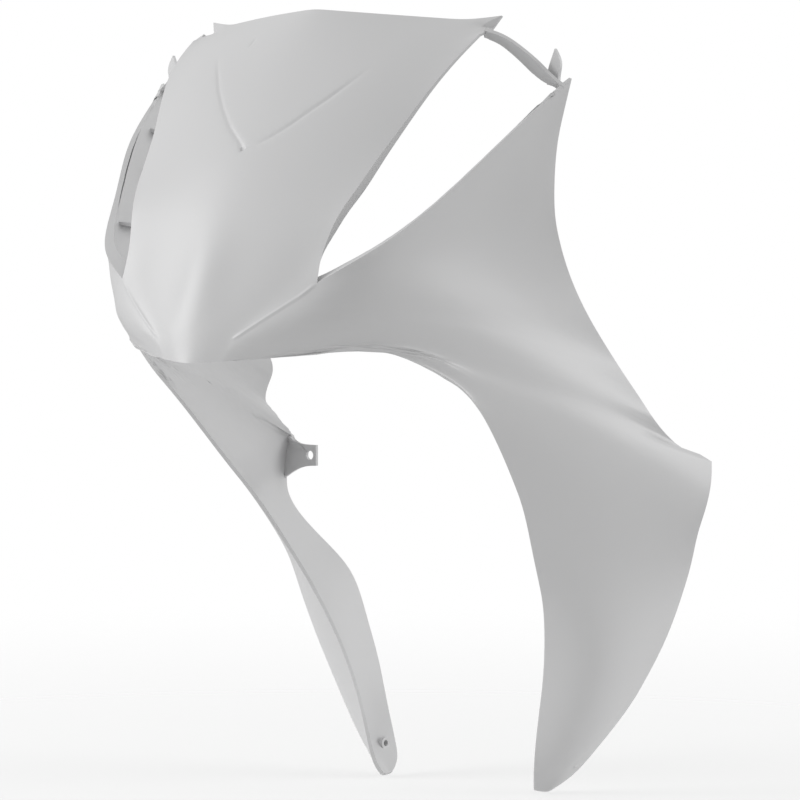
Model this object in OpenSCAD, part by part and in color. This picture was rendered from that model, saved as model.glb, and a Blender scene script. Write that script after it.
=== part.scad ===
// Front cowl of a sports motorcycle: one injection-moulded shell with a
// pointed nose, two slanted headlight openings and two swept-down wings.
// The left half is the mirror image of the right half.

/* [Overall size] */
// Width over the rear corners of the two wings
cowl_w = 454; // [380:2:500]
// Depth from the front of the nose to the rear edge of the wings
cowl_d = 436; // [380:2:500]
// Height from the wing tips to the top of the nose
cowl_h = 652; // [560:1:720]

/* [Shell] */
// Wall of the moulding
wall = 3; // [2:0.25:4]
// Depth of the return wall at the lower corner of a headlight opening, past the wall
return_low = 12; // [8:1:18]
// Depth of the return wall at the top of a headlight opening, past the wall
return_top = 1; // [1:0.5:8]
// Depth of the screen lip along the top of the nose, front to back
lip_d = 10; // [6:1:16]
// Rise of the screen lip
lip_rise = 5; // [2:0.5:8]
// Depth of the V-shaped step on the nose
step_d = 1.5; // [0:0.25:2.5]
// Width of the slope between its two levels
step_w = 18; // [10:1:30]
// Height of the crest that runs from the chin to a headlight opening
crest_d = 3.5; // [0:0.25:5]

/* [Ribs inside the arms] */
// How far a rib stands off the inside of the arm
rib_d = 12; // [6:1:16]
// Thickness of a rib
rib_t = 2.5; // [1.5:0.25:4]

/* [Fixings] */
// Distance between the holes of the two rear tabs
tab_pitch = 385; // [366:1:396]
// Bore of a rear tab
tab_hole_d = 8; // [5:0.5:10]
// Height of a rear tab
tab_h = 18; // [14:1:24]
// Thickness of a rear tab
tab_t = 3; // [2:0.5:5]
// Bore in the wing tip
tip_hole_d = 5.5; // [3:0.5:7]
// Diameter of the boss round the tip bore
tip_boss_d = 11; // [9:0.5:14]
// Height of the tip boss over the inside of the wing
tip_boss_h = 3; // [1:0.5:6]

/* [Bridge over the opening] */
// Width of the bridge where it leaves the nose
bridge_w = 9; // [6:0.5:14]
// Width of the bridge where it meets the wing
bridge_end_w = 15; // [10:0.5:20]
// Height of the pointed fin on the wing top
fin_h = 31; // [18:1:40]

/* [Hidden] */

// Sizes at which the guide curves below were drawn
drawn = [454, 436, 652];
stretch = [cowl_w / drawn[0], cowl_d / drawn[1], cowl_h / drawn[2]];

// Each guide curve of the wing is [station, x, y, z]. Stations run from the
// top of the wing (0) past the lower corner of the headlight opening (6) and
// the chin (9) down to the wing tip (23).
front_edge = [
    [0, 207, 201, 299], [1, 200, 173, 278], [2, 190, 146, 255], [3, 170, 111, 220],
    [4, 151, 77, 191], [5, 130, 54, 172], [6, 101, 41, 154], [7, 68, 25, 132],
    [8, 38, 8, 110], [9, 30, 10, 92], [10, 91, 46, 98], [11, 131, 92, 99],
    [12, 157, 142, 76], [13, 159, 180, 47], [14, 150, 230, -7], [15, 142, 258, -38],
    [16, 130, 289, -84], [17, 123, 309, -115], [18, 113, 325, -150], [19, 104, 335, -183],
    [20, 96, 340, -213], [21, 90, 343, -243], [22, 86, 347, -267], [23, 82, 353, -278]];
guide_1 = [
    [0, 209, 206, 303], [2, 191, 163, 256], [3, 172, 132, 222], [4, 156, 96, 192],
    [5, 142, 72, 172], [6, 129, 51, 153], [7, 117, 44, 137], [8, 122, 45, 123],
    [9, 108, 46, 113], [10, 128, 80, 105], [11, 149, 121, 95], [12, 169, 175, 74],
    [13, 172, 209, 42], [14, 170, 259, -11], [16, 154, 313, -84], [17, 150, 321, -116],
    [18, 150, 339, -151], [19, 140, 347, -184], [20, 125, 349, -213], [21, 106, 350, -242],
    [22, 93, 354, -268], [23, 84, 357, -279]];
guide_2 = [
    [0, 211, 211, 306], [2, 190, 187, 258], [3, 174, 171, 224], [4, 163, 148, 196],
    [5, 156, 128, 177], [6, 152, 104, 157], [7, 151, 87, 140], [8, 160, 115, 130],
    [9, 157, 125, 114], [10, 160, 144, 96], [11, 167, 180, 82], [12, 182, 223, 61],
    [14, 188, 293, -15], [16, 174, 344, -85], [17, 167, 347, -115], [18, 163, 360, -151],
    [20, 135, 364, -214], [21, 114, 361, -243], [23, 86, 362, -280]];
guide_3 = [
    [0, 213, 216, 310], [2, 191, 208, 258], [3, 183, 199, 226], [4, 175, 192, 196],
    [5, 171, 187, 174], [6, 168, 182, 151], [7, 170, 167, 138], [8, 177, 204, 117],
    [10, 185, 238, 75], [12, 199, 293, 40], [14, 207, 344, -22], [16, 189, 382, -87],
    [17, 176, 386, -115], [18, 165, 392, -150], [20, 137, 388, -214], [21, 115, 380, -245],
    [23, 87, 368, -280]];
rear_edge = [
    [0, 215, 221, 314], [1, 207, 222, 289], [2, 197, 225, 258], [3, 192, 229, 212],
    [4, 190, 239, 186], [5, 188, 251, 166], [6, 186, 267, 145], [7, 187, 289, 117],
    [8, 186, 332, 77], [9, 197, 339, 58], [10, 207, 345, 40], [11, 207, 366, 24],
    [12, 210, 388, 11], [13, 223, 408, 1], [14, 227, 397, -31], [15, 217, 397, -57],
    [16, 199, 414, -85], [17, 178, 431, -114], [18, 162, 431, -152], [19, 143, 425, -190],
    [20, 130, 417, -215], [21, 109, 402, -248], [22, 95, 391, -268], [23, 86, 374, -279]];

// Guide curves of the nose, from the chin (0) past the lower corner of the
// headlight opening (3) to the top (13). The ridge also holds how straight the
// section is at that height, from a bow (0) to a flat-sided V (1), and how much
// of its fall to the side happens at once, at the edge of the snout's front face.
nose_ridge = [
    [0, 2, 90, 0.3, 0.4], [1, 0, 104, 0.3, 0.4], [2, 6.5, 133, 0.3, 0.37],
    [3, 12.5, 152, 0.35, 0.3], [4, 20.5, 171, 0.35, 0.27], [5, 29.5, 187, 0.35, 0.18],
    [6, 40.5, 207, 0.35, 0.05], [7, 51, 226, 0.3, 0], [8, 64, 250, 0.25, 0],
    [9, 79, 273, 0.2, 0], [10, 99, 301, 0.15, 0], [11, 119, 325, 0.1, 0],
    [12, 138, 349, 0.15, 0], [13, 151, 367, 0.2, 0]];
nose_side = [
    [3, 101, 41, 154], [4, 100, 46, 171], [5, 102, 52, 187], [6, 107, 60, 207],
    [7, 114, 73, 226], [8, 120, 92, 250], [9, 127, 111, 273], [10, 137, 132, 301],
    [11, 145, 154, 325], [12, 149, 186, 349], [13, 146, 209, 355]];

chin_station = 9;
fold_station = 8;
corner_station = 6;
tip_station = 23;
corner_row = chin_station - corner_station;
opening_row = 12;
top_row = 13;
steps = 2;
nose_cols = 12;
snout_w = 28;
ribs = [[1.5, 4, 8], [2.5, 4, 9], [4, 3, 8]];
wing_cols = 12;

// Smooth curve through a list of [station, values...] at station s. It turns
// sharply only at the station named as its crease.
function rest(p) = [for (k = [1:len(p) - 1]) p[k]];
function slope(c, i, from, to) =
    let (a = max(0, from, i - 1), b = min(len(c) - 1, to, i + 1))
    (rest(c[b]) - rest(c[a])) / (c[b][0] - c[a][0]);
function span(c, s, i = 0) = i >= len(c) - 2 || s < c[i + 1][0] ? i : span(c, s, i + 1);
function along(c, s, crease = -1) =
    let (i = span(c, s), d = c[i + 1][0] - c[i][0], t = (s - c[i][0]) / d, far = len(c) - 1,
         from = c[i][0] == crease ? i : 0, to = c[i + 1][0] == crease ? i + 1 : far)
    rest(c[i]) * (1 + 2 * t) * (1 - t) * (1 - t) + slope(c, i, from, far) * d * t * (1 - t) * (1 - t)
    + rest(c[i + 1]) * t * t * (3 - 2 * t) + slope(c, i + 1, 0, to) * d * t * t * (t - 1);

function sized(p) = [p[0] * stretch[0], p[1] * stretch[1], p[2] * stretch[2]];
function unit(v) = v / norm(v);

// One section of the wing, from its front edge (0) to its rear edge (1)
function wing_row(s) =
    let (g = concat([for (c = [front_edge, guide_1, guide_2]) along(c, s, fold_station)],
                    [for (c = [guide_3, rear_edge]) along(c, s)]),
         line = [for (k = [0:4]) concat([k / 4], g[k])])
    [for (j = [0:wing_cols]) sized(along(line, j / wing_cols))];

// The V-shaped step: height of its line at a distance x from the middle
function step_line(x) = 260 + 0.45 * x + 0.0045 * x * x;
function smooth(t) = let (c = min(1, max(0, t))) c * c * (3 - 2 * c);

// One section of the nose, from the ridge (0) to its side edge (1)
function side_point(u) = u <= corner_row ? along(front_edge, chin_station - u, fold_station)
    : along(nose_side, u);
function snout_edge(u, width) = max(snout_w / 2, min(30 - 5.5 * u, width / 2));
function falls(x, edge) = smooth((x - edge) / snout_w + 0.5);
function valley(q, u) =
    2.6 * crest_d * (pow(q, 6) - pow(q, 18)) * smooth(u) * smooth((5.5 - u) / 2);
function nose_row(u) =
    let (r = along(nose_ridge, u), e = side_point(u), edge = snout_edge(u, e[0]))
    [for (j = [0:nose_cols])
        let (q = j / nose_cols, x = e[0] * q, z = r[1] + (e[2] - r[1]) * q,
             bow = r[2] * q + (1 - r[2]) * q * q,
             fall = (falls(x, edge) - falls(0, edge)) / (falls(e[0], edge) - falls(0, edge)),
             sunk = step_d * smooth((z - step_line(x)) / step_w + 0.5) * smooth((1 - q) * 8))
        sized([x, r[0] + (e[1] - r[0]) * (bow + (fall - bow) * r[3])
            + sunk + valley(q, u), z])];

wing = [for (k = [0:tip_station * steps]) wing_row(k / steps)];
nose_body = [for (k = [0:top_row * steps]) nose_row(k / steps)];
lip = [for (j = [0:nose_cols])
    let (q = j / nose_cols, p = nose_body[top_row * steps][j], horn = smooth((q - 0.85) / 0.15))
    p + [5 * horn, lip_d - 5 * horn, lip_rise + 5 * horn]];
nose = concat(nose_body, [lip]);

// Outward normals of a grid of points
function grid_normal(g, i, j) =
    let (a = g[max(0, i - 1)][j], b = g[min(len(g) - 1, i + 1)][j],
         c = g[i][max(0, j - 1)], d = g[i][min(len(g[0]) - 1, j + 1)])
    unit(cross(b - a, d - c));
wing_raw = [for (i = [0:len(wing) - 1]) [for (j = [0:wing_cols]) grid_normal(wing, i, j)]];
nose_raw = [for (i = [0:len(nose) - 1]) [for (j = [0:nose_cols]) -grid_normal(nose, i, j)]];

// Along the seam both surfaces share one normal, and on the middle plane the
// normal stays in that plane, so the inner face closes there too.
function wing_normal(i, j) =
    j == 0 && i >= corner_station * steps && i <= chin_station * steps
    ? unit(wing_raw[i][0] + nose_raw[chin_station * steps - i][nose_cols]) : wing_raw[i][j];
function nose_normal(i, j) =
    j == 0 ? unit([0, nose_raw[i][0][1], nose_raw[i][0][2]])
    : j == nose_cols && i <= corner_row * steps ? wing_normal(chin_station * steps - i, 0)
    : nose_raw[i][j];

// Return walls of the headlight opening: depth and direction at each row
corner_dir = unit([-0.66, 0.73, 0.2]);
function wing_return(i) =
    let (t = smooth(i / steps / corner_station), deep = pow(max(0, i / steps - 2.5) / 3.5, 2))
    (wall + return_top + (return_low - return_top) * deep)
    * unit(corner_dir * t + [-0.8, 0.6, 0] * (1 - t));
function nose_return(i) =
    let (u = i / steps, d = smooth(2 * (u - corner_row) / (opening_row - corner_row)),
         deep = 1 - smooth((u - 5) / 6))
    (wall + return_top + (return_low - return_top) * deep)
    * unit(corner_dir * (1 - d) + [0, 1, 0] * d);
function edge_dir(g, i, j) = g[min(len(g) - 1, i + 1)][j] - g[max(0, i - 1)][j];
last_return = opening_row * steps;
first_return = corner_row * steps;
corner_i = corner_station * steps;
function nose_inward(i) = unit(cross(nose_return(i), edge_dir(nose, i, nose_cols)));
function wing_inward(i) = unit(cross(wing_return(i), edge_dir(wing, i, 0)));
corner_inward = unit(nose_inward(first_return) + wing_inward(corner_i));
function inward_n(i) = i == first_return ? corner_inward : nose_inward(i);
function inward_w(i) = i == corner_i ? corner_inward : wing_inward(i);
function mitre(a, b) = (a + b) / (1 + a * b);

wing_inner = [for (i = [0:len(wing) - 1]) [for (j = [0:wing_cols])
    let (n = wing_normal(i, j))
    wing[i][j] - wall * (j == 0 && i <= corner_i ? mitre(n, inward_w(i)) : n)]];
nose_inner = [for (i = [0:len(nose) - 1]) [for (j = [0:nose_cols])
    let (n = nose_normal(i, j), folded = j == nose_cols && i >= first_return && i <= last_return)
    nose[i][j] - wall * (folded ? mitre(n, inward_n(i)) : n)]];

wing_fold = [for (i = [0:corner_i]) wing[i][0] + wing_return(i)];
wing_fold_inner = [for (i = [0:corner_i]) wing_fold[i] - wall * inward_w(i)];
nose_fold = [for (i = [first_return:last_return]) nose[i][nose_cols] + nose_return(i)];
nose_fold_inner = [for (i = [first_return:last_return])
    nose_fold[i - first_return] - wall * inward_n(i)];

// Triangles between two rows of points, and between an outer and inner line
function quad(a, b, c, d) = [[a, b, c], [a, c, d]];
function strip(a, b) = [for (k = [0:len(a) - 2]) each quad(a[k], b[k], b[k + 1], a[k + 1])];
function sheet(g) = [for (i = [0:len(g) - 2]) each turned(strip(g[i], g[i + 1]))];
function turned(tris) = [for (t = tris) [t[0], t[2], t[1]]];
function rim(outer, inner) = turned(strip(outer, inner));
function mirrored(tris) = [for (t = tris) [for (k = [0, 2, 1]) [-t[k][0], t[k][1], t[k][2]]]];
function column(g, j, from, to) = [for (i = [from:to]) g[i][j]];
function backwards(c) = [for (k = [len(c) - 1:-1:0]) c[k]];

wing_end = len(wing) - 1;
nose_end = len(nose) - 1;
chin_i = chin_station * steps;
fold_end = last_return - first_return;
half = concat(
    sheet(wing), turned(sheet(wing_inner)),
    turned(sheet(nose)), sheet(nose_inner),
    strip(wing_fold, column(wing, 0, 0, corner_i)),
    turned(strip(wing_fold_inner, column(wing_inner, 0, 0, corner_i))),
    turned(strip(column(nose, nose_cols, first_return, last_return), nose_fold)),
    strip(column(nose_inner, nose_cols, first_return, last_return), nose_fold_inner),
    rim(wing_fold, wing_fold_inner),
    rim(column(wing, 0, chin_i, wing_end), column(wing_inner, 0, chin_i, wing_end)),
    strip(column(wing, wing_cols, 0, wing_end), column(wing_inner, wing_cols, 0, wing_end)),
    rim(concat(backwards(wing[0]), [wing_fold[0]]), concat(backwards(wing_inner[0]), [wing_fold_inner[0]])),
    rim(wing[wing_end], wing_inner[wing_end]),
    rim(nose_fold, nose_fold_inner),
    rim([nose_fold[fold_end], nose[last_return][nose_cols]],
        [nose_fold_inner[fold_end], nose_inner[last_return][nose_cols]]),
    rim(column(nose, nose_cols, last_return, nose_end), column(nose_inner, nose_cols, last_return, nose_end)),
    rim(nose[0], nose_inner[0]),
    strip(nose[nose_end], nose_inner[nose_end]));
skin = concat(half, mirrored(half));

module shell() {
    polyhedron(
        points = [for (t = skin) each t],
        faces = [for (k = [0:len(skin) - 1]) [3 * k, 3 * k + 1, 3 * k + 2]]);
}

// A point inside the wall of the wing, at station s and column c
function in_wing(s, c) =
    let (i = round(s * steps), j = min(floor(c), wing_cols - 1), t = c - j)
    mid_wall(i, j) * (1 - t) + mid_wall(i, j + 1) * t;
function mid_wall(i, j) = wing[i][j] * 0.4 + wing_inner[i][j] * 0.6;

// The tab lies across the inside of the wing, near its rear corner
tab_y = sized([0, 394, 0])[1];
tab_z = sized([0, 0, -9])[2];
tab_root = [in_wing(14, 11.9), in_wing(13.5, 11.5), in_wing(13, 11.45), in_wing(12.5, 11.75)];
module rear_tab() {
    x = tab_pitch / 2;
    top = tab_z + tab_h / 2;
    low = tab_z - tab_h / 2;
    outline = concat(
        [[x + 13, low], [x - 7, low], [x - 7, top], [x + 13, top]],
        [for (k = [3:-1:0]) [tab_root[k][0], tab_root[k][2]]]);
    translate([0, tab_y + tab_t / 2, 0]) rotate([90, 0, 0])
        linear_extrude(tab_t) polygon(backwards(outline));
}

module tab_bore() {
    translate([tab_pitch / 2, tab_y, tab_z]) rotate([90, 0, 0])
        cylinder(d = tab_hole_d, h = 4 * tab_t, center = true, $fn = 48);
}

// Shelf across the inside of the arm at station s, between columns a and b
module arm_rib(s, a, b) {
    root = [for (c = [a:b]) in_wing(s, c)];
    level = (root[0][2] + root[b - a][2]) / 2;
    translate([0, 0, level - rib_t / 2]) linear_extrude(rib_t)
        polygon(concat([for (p = root) [p[0], p[1]]],
            [for (k = [b - a:-1:0]) [root[k][0] - rib_d, root[k][1] + rib_d / 4]]));
}

// Flat band on edge, swept from the nose to the top of the wing
bridge_path = [
    [0, 145, 199, 351], [1, 158, 204, 346], [2, 172, 208, 336], [3, 186, 213, 323],
    [4, 198, 217, 311], [5, 209, 219, 304]];
bridge_face = unit([0.5, -0.38, -0.78]);
module bridge() {
    n = 10;
    rings = [for (k = [0:n])
        let (s = 5 * k / n, p = sized(along(bridge_path, s)),
             d = unit(slope(bridge_path, round(s), 0, len(bridge_path) - 1)),
             up = unit(cross(bridge_face, d)), out = cross(up, d),
             h = (bridge_w + (bridge_end_w - bridge_w) * k / n) / 2, t = wall / 2)
        [p + up * h + out * t, p - up * h + out * t, p - up * h - out * t, p + up * h - out * t]];
    tube(rings);
}

// Closed tube through rings of points
module tube(rings) {
    m = len(rings[0]);
    last = len(rings) - 1;
    polyhedron(
        points = [for (r = rings) each r],
        faces = concat(
            [for (k = [0:last - 1]) for (i = [0:m - 1]) for (f = [0, 1])
                let (a = k * m + i, b = k * m + (i + 1) % m)
                f == 0 ? [a, b, b + m] : [a, b + m, a + m]],
            [[for (i = [m - 1:-1:0]) i], [for (i = [0:m - 1]) last * m + i]]));
}

// Pointed fin that stands on the top of the wing
module fin() {
    base = sized([200, 220, 307]);
    translate([base[0], base[1] + wall / 2, base[2]]) rotate([90, 0, 0]) linear_extrude(wall)
        polygon([[10, -6], [4, 0], [3, fin_h * 0.28], [6, fin_h * 0.55], [5, fin_h * 0.75],
                 [0, fin_h], [-4, fin_h * 0.7], [-7, fin_h * 0.45], [-9, 0]]);
}

// Boss on the inside of the wing tip, with a blind bore
tip_at = in_wing(21.5, 10);
module tip_boss() {
    translate(tip_at - [tip_boss_h + wall / 2, 0, 0]) rotate([0, 90, 0])
        cylinder(d = tip_boss_d, h = tip_boss_h + wall / 2, $fn = 48);
}
module tip_bore() {
    translate(tip_at - [2 * tip_boss_h + wall, 0, 0]) rotate([0, 90, 0])
        cylinder(d = tip_hole_d, h = 2 * tip_boss_h + wall, $fn = 48);
}

module both_sides() {
    for (m = [0, 1]) mirror([m, 0, 0]) children();
}

module front_cowl() {
    color("gainsboro") translate([0, -tab_y, -tab_z]) difference() {
        union() {
            shell();
            both_sides() rear_tab();
            both_sides() for (r = ribs) arm_rib(r[0], r[1], r[2]);
            both_sides() bridge();
            both_sides() fin();
            both_sides() tip_boss();
        }
        both_sides() tab_bore();
        both_sides() tip_bore();
    }
}

front_cowl();
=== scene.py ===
# %% [markdown]
# # A moulded front cowl, dressed for its picture
#
# The real object is one thin plastic moulding: a pointed nose, two slanted
# openings for the headlights and two side wings that sweep down and back.
# Its exact shape is already packed as a fixed frame, so this lesson is about
# looks: how to get soft, continuous highlights out of that frame, how to make
# a satin plastic that is not one flat colour, and how to light a pale part in
# front of a white background without losing its edges.
#
# The first step loads the frame and notes its box, and the box of the dressed
# part is taken again at the end. Nothing that follows may grow past that box.

# %% Load the frame
import bpy
import bmesh
import math
from mathutils import Matrix, Vector, kdtree
import numpy as np


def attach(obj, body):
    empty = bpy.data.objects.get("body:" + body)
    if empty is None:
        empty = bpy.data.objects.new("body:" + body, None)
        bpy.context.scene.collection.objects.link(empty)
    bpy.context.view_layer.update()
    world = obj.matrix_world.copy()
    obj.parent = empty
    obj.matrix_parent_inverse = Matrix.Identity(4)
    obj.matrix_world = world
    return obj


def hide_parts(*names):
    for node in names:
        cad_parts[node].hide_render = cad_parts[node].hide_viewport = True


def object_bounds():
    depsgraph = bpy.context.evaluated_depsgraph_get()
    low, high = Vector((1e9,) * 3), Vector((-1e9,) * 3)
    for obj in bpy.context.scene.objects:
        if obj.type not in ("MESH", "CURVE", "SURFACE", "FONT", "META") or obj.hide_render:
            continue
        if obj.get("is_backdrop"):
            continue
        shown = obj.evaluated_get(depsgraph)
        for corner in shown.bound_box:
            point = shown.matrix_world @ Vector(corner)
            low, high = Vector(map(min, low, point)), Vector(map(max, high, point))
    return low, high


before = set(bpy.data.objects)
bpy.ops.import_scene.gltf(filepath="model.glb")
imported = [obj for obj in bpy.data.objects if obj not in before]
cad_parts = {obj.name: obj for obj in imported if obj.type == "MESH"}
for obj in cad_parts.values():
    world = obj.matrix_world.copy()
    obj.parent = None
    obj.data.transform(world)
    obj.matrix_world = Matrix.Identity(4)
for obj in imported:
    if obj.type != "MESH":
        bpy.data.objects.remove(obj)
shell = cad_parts["front_cowl"]
low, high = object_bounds()

# %% [markdown]
# ## The camera
#
# A camera is described well by three directions: back (from the part to the
# lens), right and up. The picture was taken from a little above, 38 degrees
# round from the nose, with a long lens some 3.8 m away, so the far wing is
# only a few per cent smaller than the near one. Building the rotation from
# these directions is clearer than typing Euler angles that nobody can read.

# %% Set up the camera
azimuth = math.radians(38.0)
elevation = math.radians(2.9)
back = Vector((math.sin(azimuth) * math.cos(elevation),
               -math.cos(azimuth) * math.cos(elevation),
               math.sin(elevation)))
right = Vector((math.cos(azimuth), math.sin(azimuth), 0.0))
up = back.cross(right)

lens = bpy.data.cameras.new("long_lens")
lens.lens = 211.0
lens.sensor_width = 36.0
camera = bpy.data.objects.new("camera", lens)
camera.location = (2.4007, -3.1917, 0.2567)
camera.rotation_euler = Matrix((right, up, back)).transposed().to_euler()
bpy.context.scene.collection.objects.link(camera)
bpy.context.scene.camera = camera
print("camera looks along", [round(-c, 3) for c in back])

# %% [markdown]
# ## The shell
#
# The frame is made of flat triangles, and a soft light running over them
# shows every one. A subdivision surface gives back the continuous form of the
# real moulding, but it likes four-sided faces. So neighbouring triangles that
# lie nearly flat are joined again first, on a copy, because the frame itself
# is never changed.

# %% Copy the frame's mesh and join its triangles
weld_distance = 2e-5
flat_enough = math.radians(12)
square_enough = math.radians(50)


def quads_from(source, name):
    mesh = source.data.copy()
    mesh.name = name
    work = bmesh.new()
    work.from_mesh(mesh)
    bmesh.ops.remove_doubles(work, verts=work.verts, dist=weld_distance)
    bmesh.ops.join_triangles(work, faces=work.faces, angle_face_threshold=flat_enough,
                             angle_shape_threshold=square_enough)
    work.to_mesh(mesh)
    work.free()
    mesh.materials.clear()
    piece = bpy.data.objects.new(name, mesh)
    bpy.context.scene.collection.objects.link(piece)
    return piece


cowl = quads_from(shell, "cowl_moulding")
sides = [len(face.vertices) for face in cowl.data.polygons]
print("moulding:", len(sides), "faces,", sides.count(4), "of them four-sided")

# %% [markdown]
# The outer skin is found next. It is the patch that can be walked from the
# nose without ever crossing a sharp edge, with any small island that it
# encloses. Its outline is the rim of the moulding, and that stays crisp and in
# place. One walk finds the skin, and the same walk finds each island.

# %% Find the outer skin
on_the_nose = Vector((0.0, -0.35, 0.22))
most_island_faces = 100


def walked(start, may_step):
    """Every face reached from one face by steps over an edge that may_step(edge, face) allows."""
    patch, waiting = {start}, [start]
    while waiting:
        for edge in waiting.pop().edges:
            for beside in edge.link_faces:
                if beside not in patch and may_step(edge, beside):
                    patch.add(beside)
                    waiting.append(beside)
    return patch


def outer_skin(work, crisp_degrees):
    crisp = math.radians(crisp_degrees)
    facing_ahead = [face for face in work.faces if face.normal.y < -0.5]
    start = min(facing_ahead, key=lambda face: (face.calc_center_median() - on_the_nose).length)
    skin = walked(start, lambda edge, face: edge.calc_face_angle(0.0) < crisp)
    rest = set(work.faces) - skin
    while rest:
        island = walked(next(iter(rest)), lambda edge, face: face in rest)
        rest = rest - island
        if len(island) < most_island_faces:
            skin |= island
    return skin


def mark_skin(piece, crisp_degrees):
    """Slot 1 marks the faces of the outer skin; it lasts through the subdivisions."""
    work = bmesh.new()
    work.from_mesh(piece.data)
    skin = outer_skin(work, crisp_degrees)
    for face in work.faces:
        face.material_index = int(face in skin)
    print("outer skin:", len(skin), "faces,", round(sum(f.calc_area() for f in skin), 4), "m2")
    work.to_mesh(piece.data)
    work.free()


mark_skin(cowl, 35.0)

# %% [markdown]
# A subdivision surface would melt the rims of the thin wall, so it must know
# which edges stay crisp. The outline of the outer skin gets a full crease, and
# inside the skin there is none, so that its folds stay soft. On the return
# walls, the ribs and the inner side the crease grows with the turn of the
# edge. One level is applied now and one more before the skin is evened out.

# %% Crease the rims, then subdivide
def subdivided(piece, crisp_degrees, fold_degrees):
    crisp, fold = math.radians(crisp_degrees), math.radians(fold_degrees)
    work = bmesh.new()
    work.from_mesh(piece.data)
    crease = (work.edges.layers.float.get("crease_edge")
              or work.edges.layers.float.new("crease_edge"))
    for face in work.faces:
        face.smooth = True
    for edge in work.edges:
        turn = edge.calc_face_angle(0.0) if len(edge.link_faces) == 2 else math.pi
        marks = sum(face.material_index for face in edge.link_faces)
        edge.smooth = marks != 1 and turn < crisp
        sharpness = min(1.0, max(0.0, (turn - fold) / (crisp - fold)))
        edge[crease] = (sharpness, 1.0, 0.0)[marks]
    work.to_mesh(piece.data)
    work.free()
    finer = piece.modifiers.new("finer", "SUBSURF")
    finer.levels = finer.render_levels = 1
    graph = bpy.context.evaluated_depsgraph_get()
    old = piece.data
    piece.data = bpy.data.meshes.new_from_object(piece.evaluated_get(graph))
    piece.modifiers.clear()
    bpy.data.meshes.remove(old)


subdivided(cowl, crisp_degrees=50.0, fold_degrees=35.0)
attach(cowl, "root")
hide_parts("front_cowl")
print("subdivided once:", len(cowl.data.polygons), "faces")

# %% [markdown]
# A real moulding is cut from a polished tool, so its skin has no ripples. The
# frame's skin was carried from station to station, and where those lines
# crowd together it waves a little. The cure is to let the skin act as a
# stretched sheet for a moment: each point is pulled towards its neighbours,
# and held back by a spring to its own place. How far the pull reaches is a
# length, and it is short where the form is small: at the snout, and nothing
# at the rear tabs and the wing tips, where the part is fastened.

# %% How wide the smoothing is at each place
def near(place, middle, radius):
    """1 in the middle of a round area, falling smoothly to almost 0 outside it."""
    return math.exp(-(((Vector(place) - Vector(middle)).length / radius) ** 2))


widest = 0.030
narrower_at_snout = 0.016
snout = (0.06, -0.37, 0.13)
rear_tab = (0.20, 0.0, 0.01)
wing_tip = (0.105, -0.01, -0.25)


def smoothing_width(place):
    """Metres over which the skin is evened out: wide on the wings, nothing at the mounts."""
    here = (abs(place.x), place.y, place.z)
    width = widest - narrower_at_snout * near(here, snout, 0.06)
    width -= widest * near(here, rear_tab, 0.045)
    width -= widest * near(here, wing_tip, 0.04)
    return max(width, 0.0)


for name, spot in (("snout", snout), ("rear tab", rear_tab), ("wing tip", wing_tip)):
    print("smoothing width at the", name, "is", round(1000 * smoothing_width(Vector(spot)), 1), "mm")

# %% [markdown]
# The pull between two neighbours is the usual one for a triangle mesh: half
# the cotangent of the corner across from their edge, on each side of it. The
# springs weigh as much as the area round each point. Where everything comes
# to rest is the answer of one large set of equations, and conjugate gradients
# find it in ninety cheap rounds, with no matrix at all.

# %% A sheet that pulls its ripples flat
least_area = 1e-8
least_cotangent, most_cotangent = 0.05, 5.0


class Membrane:
    """The skin's triangles as a stretched sheet that pulls its ripples flat."""

    def __init__(self, places, triangles, widths):
        self.count = len(places)
        strength = 0.5 * widths ** 2
        area = np.zeros(self.count)
        first, second, pull = [], [], []
        for k in range(3):
            i, j, o = triangles[:, k], triangles[:, (k + 1) % 3], triangles[:, (k + 2) % 3]
            one, two = places[i] - places[o], places[j] - places[o]
            cross = np.linalg.norm(np.cross(one, two), axis=1)
            first.append(i)
            second.append(j)
            cotangent = (one * two).sum(axis=1) / np.maximum(cross, 1e-12)
            pull.append(np.clip(cotangent, least_cotangent, most_cotangent)
                        * 0.25 * (strength[i] + strength[j]))
            area += np.bincount(o, cross / 6.0, minlength=self.count)
        self.first, self.second, self.pull = (np.concatenate(part) for part in (first, second, pull))
        self.area = np.maximum(area, least_area)[:, None]
        self.weight = self.area + (np.bincount(self.first, self.pull, minlength=self.count)
                                   + np.bincount(self.second, self.pull, minlength=self.count))[:, None]

    def push(self, values):
        """What the springs and the pulls add up to at each point."""
        out = self.area * values
        for axis in range(3):
            tug = self.pull * (values[self.first, axis] - values[self.second, axis])
            out[:, axis] += (np.bincount(self.first, tug, minlength=self.count)
                             - np.bincount(self.second, tug, minlength=self.count))
        return out

    def settled(self, wanted, free, rounds):
        """Where the sheet comes to rest, by conjugate gradients; free is 0 at the rims."""
        values = wanted.copy()
        left = (self.area * wanted - self.push(values)) * free
        eased = left / self.weight
        search, size = eased.copy(), (left * eased).sum()
        for _ in range(rounds):
            push = self.push(search) * free
            reach = size / (search * push).sum()
            values += reach * search
            left -= reach * push
            eased = left / self.weight
            size, old_size = (left * eased).sum(), size
            search = eased + (size / old_size) * search
        return values


print("the sheet is ready")

# %% [markdown]
# The pull also flattens the broad curves. So what was lost is evened out in
# the same way and given back. The ripples stay away, and of the larger forms
# only the crest along each arm ends up softer, by some millimetres. Most of
# the way that a point goes is along the skin, where it changes nothing. The
# rims do not move at all, and the return walls, the ribs and the inner side
# move along with the skin closest to them, less and less with distance.

# %% Even out the skin, and carry the rest of the wall along
follow_distance = 0.025


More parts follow.
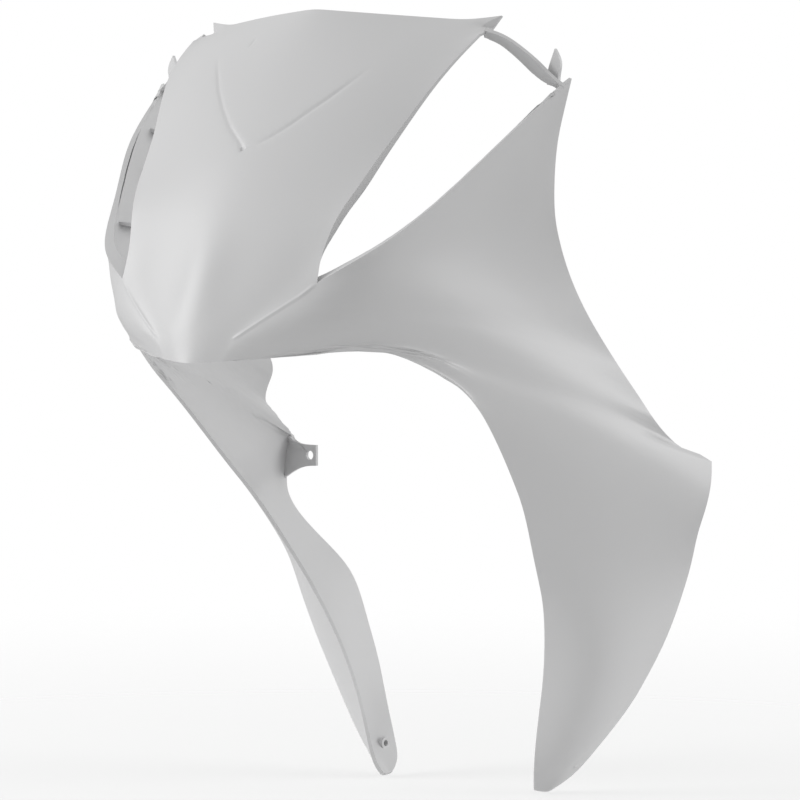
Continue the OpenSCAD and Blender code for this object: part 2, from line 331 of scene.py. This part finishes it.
def evened(piece, rounds):
    work = bmesh.new()
    work.from_mesh(piece.data)
    work.normal_update()
    skin = {face for face in work.faces if face.material_index == 1}
    verts = sorted({vert for face in skin for vert in face.verts}, key=lambda vert: vert.index)
    row = {vert: i for i, vert in enumerate(verts)}
    corners = [[row[vert] for vert in face.verts] for face in work.faces if face in skin]
    triangles = np.array([(c[0], c[k], c[k + 1]) for c in corners for k in range(1, len(c) - 1)])
    before = np.array([vert.co for vert in verts])
    widths = np.array([smoothing_width(vert.co) for vert in verts])
    free = np.array([[float(all(face in skin for face in vert.link_faces))] for vert in verts])
    sheet = Membrane(before, triangles, widths)
    once = sheet.settled(before, free, rounds)
    lost = before - once
    move = (once - before) + sheet.settled(lost, free, rounds)
    tree = kdtree.KDTree(len(verts))
    for i, place in enumerate(before):
        tree.insert(place, i)
    tree.balance()
    for vert in work.verts:
        if vert in row:
            step = move[row[vert]]
        else:
            closest = tree.find_n(vert.co, 3)
            share = np.array([1.0 / (distance + 1e-4) for _, _, distance in closest])
            moves = share[:, None] * move[[i for _, i, _ in closest]]
            follow = math.exp(-(closest[0][2] / follow_distance) ** 2)
            step = follow * moves.sum(axis=0) / share.sum()
        vert.co = vert.co + Vector(step)
    work.to_mesh(piece.data)
    work.free()
    return np.linalg.norm(move, axis=1)


subdivided(cowl, crisp_degrees=50.0, fold_degrees=35.0)
steps = evened(cowl, rounds=90)
print("evened", len(steps), "points: mean", round(1000 * steps.mean(), 2), "mm, most",
      round(1000 * steps.max(), 2), "mm;", len(cowl.data.polygons), "faces")

# %% [markdown]
# ## The pressed lines
#
# Fine lines are pressed into the nose: a V that opens towards the screen, a
# short crease beside it, and the thin raised seam on which each arm leaves the
# snout. They are only two or three millimetres wide, so the faces beside them
# are cut smaller first. Then each point moves along its own normal, by an
# amount that falls off with its distance from the line.

# %% Press a line into the skin
def distance_to_line(place, normal, line):
    """Distance within the surface, and how far along the line (0 to 1) the nearest place is."""
    best, along = 1e9, 0.0
    for k, (one, two) in enumerate(zip(line, line[1:])):
        way = two - one
        t = min(1.0, max(0.0, (place - one).dot(way) / way.length_squared))
        gap = place - one - t * way
        gap -= gap.dot(normal) * normal
        if gap.length < best:
            best, along = gap.length, (k + t) / (len(line) - 1)
    return best, along


def eased(share):
    """0 to 1 with a soft start and a soft end."""
    share = min(1.0, max(0.0, share))
    return share ** 2 * (3.0 - 2.0 * share)


def pressed(piece, line, height, width, fade_in, fade_out):
    """Raise (or sink) a strip along a line; it fades over a share of its length at each end."""
    line = [Vector(point) for point in line]
    reach = 0.008
    strip = 0.55 * reach
    lows = [min(p[k] for p in line) - reach for k in range(3)]
    highs = [max(p[k] for p in line) + reach for k in range(3)]
    work = bmesh.new()
    work.from_mesh(piece.data)
    work.normal_update()

    def beside(vert):
        return (all(lo < c < hi for lo, c, hi in zip(lows, vert.co, highs)) and vert.normal.y < -0.3
                and distance_to_line(vert.co, vert.normal, line)[0] < strip)

    close = {vert for vert in work.verts if beside(vert)}
    edges = [edge for edge in work.edges if edge.verts[0] in close and edge.verts[1] in close]
    bmesh.ops.subdivide_edges(work, edges=edges, cuts=2, use_grid_fill=True)
    work.normal_update()
    for vert in [vert for vert in work.verts if beside(vert)]:
        gap, along = distance_to_line(vert.co, vert.normal, line)
        from_start = along / fade_in if fade_in else 1.0
        from_end = (1.0 - along) / fade_out
        fade = eased(min(from_start, from_end))
        vert.co += vert.normal * height * fade * math.exp(-((gap / width) ** 2))
    for face in work.faces:
        face.smooth = True
        face.material_index = 0
    work.to_mesh(piece.data)
    work.free()


def mirrored(line):
    return [(-x, y, z) for x, y, z in line]


print("ready to press lines")

# %% [markdown]
# Each line is a short list of places on the skin. The two legs of the V meet
# in one point on the ridge and run out softly, and the seams are one line and
# its mirror image. A height below nothing is a groove, and one above it is a
# raised seam. The skin's mark in the material slots has done its work by now,
# so every face goes back to the first slot, where the plastic will be.

# %% Press the V, the crease and the seams
vee_right = [(0.0, -0.3235, 0.2680), (0.0140, -0.3202, 0.2722), (0.0229, -0.3160, 0.2769),
             (0.0353, -0.3086, 0.2856), (0.0458, -0.3002, 0.2951), (0.0599, -0.2885, 0.3078),
             (0.0723, -0.2761, 0.3205), (0.0878, -0.2572, 0.3381)]
vee_left = mirrored([(0.0, -0.3235, 0.2680), (0.0045, -0.3205, 0.2722), (0.0239, -0.3097, 0.2851),
                     (0.0424, -0.2964, 0.3005), (0.0583, -0.2826, 0.3153), (0.0743, -0.2655, 0.3320),
                     (0.0896, -0.2474, 0.3472)])
crease = [(-0.0498, -0.2458, 0.3596), (-0.0502, -0.2505, 0.3546), (-0.0509, -0.2547, 0.3497)]
seam = [(0.0377, -0.3859, 0.1180), (0.0534, -0.3778, 0.1283), (0.0710, -0.3684, 0.1401),
        (0.0890, -0.3596, 0.1527), (0.1008, -0.3530, 0.1629)]
pressed(cowl, vee_right, height=-0.0009, width=0.0017, fade_in=0.0, fade_out=0.25)
pressed(cowl, vee_left, height=-0.0009, width=0.0017, fade_in=0.0, fade_out=0.25)
pressed(cowl, crease, height=-0.0006, width=0.0015, fade_in=0.3, fade_out=0.3)
pressed(cowl, seam, height=0.0008, width=0.0014, fade_in=0.1, fade_out=0.1)
pressed(cowl, mirrored(seam), height=0.0005, width=0.0014, fade_in=0.1, fade_out=0.1)
print("with its pressed lines:", len(cowl.data.polygons), "faces")

# %% [markdown]
# ## Writing a material as arithmetic
#
# Node trees are easier to read when they look like the sums that they are.
# The small class below holds one output socket. Adding, taking away or
# multiplying two of them makes the Math node, and `node` makes any other.

# %% A socket that knows arithmetic
class Flow:
    """One socket of a node tree, with the arithmetic used on it."""

    def __init__(self, tree, socket):
        self.tree = tree
        self.socket = socket

    def math(self, operation, first, second):
        return node(self.tree, "ShaderNodeMath", {"operation": operation}, {0: first, 1: second})

    def __add__(self, other):
        return self.math("ADD", self, other)

    def __sub__(self, other):
        return self.math("SUBTRACT", self, other)

    def __rsub__(self, other):
        return self.math("SUBTRACT", other, self)

    def __mul__(self, other):
        return self.math("MULTIPLY", self, other)

    __radd__ = __add__
    __rmul__ = __mul__


def node(tree, kind, settings=None, values=None, out=0):
    """Make a node: its settings first, then the values or links of its sockets."""
    made = tree.nodes.new(kind)
    for key, value in (settings or {}).items():
        setattr(made, key, value)
    for key, value in (values or {}).items():
        if isinstance(value, Flow):
            tree.links.new(value.socket, made.inputs[key])
        else:
            made.inputs[key].default_value = value
    return Flow(tree, made.outputs[out]) if made.outputs else None


def new_material(name):
    material = bpy.data.materials.new(name)
    material.use_nodes = True
    material.node_tree.nodes.clear()
    return material, material.node_tree


print("arithmetic ready")

# %% [markdown]
# ## Satin grey plastic
#
# The moulding is light grey, with a soft gloss that blurs what it reflects.
# Three small things keep it from looking like plain paint: a very fine
# orange-peel from the mould, slow changes of gloss where the plastic cooled
# unevenly, and a barely visible drift of the grey itself.

# %% Mix the plastic
plastic, tree = new_material("satin_grey_plastic")
place = node(tree, "ShaderNodeTexCoord", out="Object")
drift = node(tree, "ShaderNodeTexNoise", {}, {"Vector": place, "Scale": 5.0, "Detail": 2.0})
peel = node(tree, "ShaderNodeTexNoise", {}, {"Vector": place, "Scale": 900.0, "Detail": 2.0})
grey = node(tree, "ShaderNodeMix", {"data_type": "RGBA"},
            {0: drift, 6: (0.585, 0.585, 0.588, 1), 7: (0.615, 0.615, 0.618, 1)}, out=2)
relief = node(tree, "ShaderNodeBump", {}, {"Strength": 0.06, "Distance": 0.0003, "Height": peel})
surface = node(tree, "ShaderNodeBsdfPrincipled", {}, {
    "Base Color": grey, "Roughness": drift * 0.08 + 0.32, "IOR": 1.49, "Normal": relief})
node(tree, "ShaderNodeOutputMaterial", {}, {"Surface": surface})
cowl.data.materials.append(plastic)
print("plastic:", len(tree.nodes), "nodes")

# %% [markdown]
# ## Floor, background and light
#
# The background is white, but the light on the part must stay at a plain
# level. A plain white floor would throw too much light back up and end in a
# hard horizon. So the floor is a disc of pale paper that fades out towards its
# edge, and the camera sees through more than half of it, which leaves a soft
# shadow on white.

# %% Lay the floor
floor_mesh = bpy.data.meshes.new("studio_floor")
work = bmesh.new()
bmesh.ops.create_circle(work, cap_ends=True, radius=3.0, segments=96)
work.to_mesh(floor_mesh)
work.free()
floor = bpy.data.objects.new("studio_floor", floor_mesh)
floor.location = (0.0, -0.2, low.z - 0.001)
bpy.context.scene.collection.objects.link(floor)
floor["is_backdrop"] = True
paper, tree = new_material("pale_paper")
spot = node(tree, "ShaderNodeTexCoord", out="Object")
reach = node(tree, "ShaderNodeVectorMath", {"operation": "LENGTH"}, {0: spot}, out="Value")
fade = node(tree, "ShaderNodeMapRange", {"interpolation_type": "SMOOTHSTEP"},
            {"Value": reach, "From Min": 0.3, "From Max": 1.8})
matt = node(tree, "ShaderNodeBsdfDiffuse", {}, {"Color": (0.85, 0.85, 0.85, 1)})
clear = node(tree, "ShaderNodeBsdfTransparent")
lens_ray = node(tree, "ShaderNodeLightPath", out="Is Camera Ray")
seen_through = 0.6
thin = 1 - (1 - fade) * (1 - lens_ray * seen_through)
mixed = node(tree, "ShaderNodeMixShader", {}, {0: thin, 1: matt, 2: clear})
node(tree, "ShaderNodeOutputMaterial", {}, {"Surface": mixed})
floor_mesh.materials.append(paper)
print("floor at", round(floor.location.z, 4))

# %% [markdown]
# The world is white where the camera looks at it, straight or through
# something clear. For all other rays it is a weaker grey, dimmer from below,
# so that the undersides go dark as they do over a table. Two large soft boxes
# do the rest: the key from the left of the nose models the form, and a weaker
# one from the opposite side draws the far edges.

# %% Light the part
world = bpy.data.worlds.new("studio")
world.use_nodes = True
bpy.context.scene.world = world
tree = world.node_tree
tree.nodes.clear()
lens_ray = node(tree, "ShaderNodeLightPath", out="Is Camera Ray")
clear_ray = node(tree, "ShaderNodeLightPath", out="Is Transmission Ray")
seen = node(tree, "ShaderNodeMath", {"operation": "MAXIMUM"}, {0: lens_ray, 1: clear_ray})
heading = node(tree, "ShaderNodeTexCoord", out="Generated")
height = node(tree, "ShaderNodeSeparateXYZ", {}, {0: heading}, out="Z")
upward = node(tree, "ShaderNodeMapRange", {"interpolation_type": "SMOOTHSTEP"},
              {"Value": height, "From Min": -0.6, "From Max": 0.5})
soft = node(tree, "ShaderNodeBackground", {}, {"Color": (1, 1, 1, 1), "Strength": upward * 0.4 + 0.3})
white = node(tree, "ShaderNodeBackground", {}, {"Color": (1, 1, 1, 1), "Strength": 1.0})
sky = node(tree, "ShaderNodeMixShader", {}, {0: seen, 1: soft, 2: white})
node(tree, "ShaderNodeOutputWorld", {}, {"Surface": sky})


def soft_box(name, place, aim, width, power):
    lamp = bpy.data.lights.new(name, "AREA")
    lamp.size = width
    lamp.energy = power
    holder = bpy.data.objects.new(name, lamp)
    holder.location = place
    holder.rotation_euler = (Vector(aim) - Vector(place)).to_track_quat("-Z", "Y").to_euler()
    bpy.context.scene.collection.objects.link(holder)


middle = (0.0, -0.2, 0.05)


def around(azimuth_degrees, elevation_degrees, reach):
    """A place seen from the middle of the part: azimuth 0 is in front of the nose."""
    azimuth, elevation = math.radians(azimuth_degrees), math.radians(elevation_degrees)
    flat = reach * math.cos(elevation)
    return (flat * math.sin(azimuth), middle[1] - flat * math.cos(azimuth),
            middle[2] + reach * math.sin(elevation))


soft_box("key", around(-50.0, 18.0, 3.0), aim=middle, width=2.0, power=47.0)
soft_box("rim", around(130.0, 18.0, 3.0), aim=middle, width=2.0, power=30.0)

# %% [markdown]
# ## View settings and the two boxes
#
# The Standard view shows colours about as they are written. Last of all, the
# box of the dressed part is taken again.

# %% Finish
bpy.context.scene.view_settings.view_transform = "Standard"
low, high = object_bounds()
